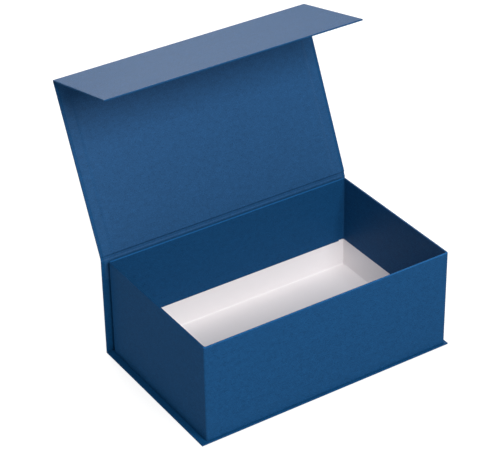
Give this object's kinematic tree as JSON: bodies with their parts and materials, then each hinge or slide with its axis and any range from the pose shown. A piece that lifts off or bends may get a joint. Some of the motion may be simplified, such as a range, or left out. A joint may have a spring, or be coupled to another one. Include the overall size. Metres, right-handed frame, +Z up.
{
  "type": "archival box",
  "caption": "Rigid board box of the book kind: a deep tray on a wrapped case whose hinged lid ends in a hinged front flap held shut by hidden magnets.",
  "frame": {"origin": "centre of the base's underside, on the surface the box stands on", "axes": "+Z up, +X along the box's long side and the hinge creases, -Y the front that the flap closes"},
  "size_m": [0.341, 0.2986, 0.3514],
  "materials": {
    "covering_paper": "blue covering paper, fine linen grain, satin",
    "inner_paper": "the same blue paper as a lining, satin",
    "white_lining": "white lining paper, matt",
    "greyboard": "uncoated grey board, at the density of pressed paper",
    "magnet": "plated disc magnet",
    "tape": "kraft stay tape",
    "glue": "dried hot-melt glue",
    "foam_tape": "double-sided mounting tape"
  },
  "bodies": {
    "case": {"base_board": "greyboard", "base_wrap": "covering_paper", "spine_board": "greyboard", "spine_wrap": "covering_paper", "spine_liner": "inner_paper", "spine_pads": "foam_tape", "base_glue": "glue", "tray_board": "greyboard", "tray_lining": "white_lining", "tray_corner_tapes": "tape", "tray_wrap": "covering_paper", "tray_magnets": "magnet", "tray_magnet_tapes": "tape"},
    "lid": {"lid_board": "greyboard", "lid_wrap": "covering_paper", "lid_liner": "inner_paper"},
    "flap_fold": {"flap_fold_wrap": "covering_paper", "flap_fold_liner": "inner_paper"},
    "flap": {"flap_board": "greyboard", "flap_wrap": "covering_paper", "flap_liner": "inner_paper", "flap_magnets": "magnet", "flap_magnet_tapes": "tape"}
  },
  "joints": [
    {"name": "lid_hinge", "type": "hinge", "parent": "case", "child": "lid", "pos_m": [0, 0.106, 0.13035], "axis": [-1, 0, 0], "range_deg": [-114.3, 85.7]},
    {"name": "flap_fold_crease", "type": "hinge", "parent": "lid", "child": "flap_fold", "pos_m": [0, 0.1918, 0.32038], "axis": [1, 0, 0], "range_deg": [-11.2, 8.4]},
    {"name": "flap_hinge", "type": "hinge", "parent": "flap_fold", "child": "flap", "pos_m": [0, 0.19259, 0.32379], "axis": [-1, 0, 0], "range_deg": [0, 90]}
  ],
  "couplings": [
    {"joint": "flap_fold_crease", "follows": "lid_hinge", "ratio": 0.097988}
  ]
}
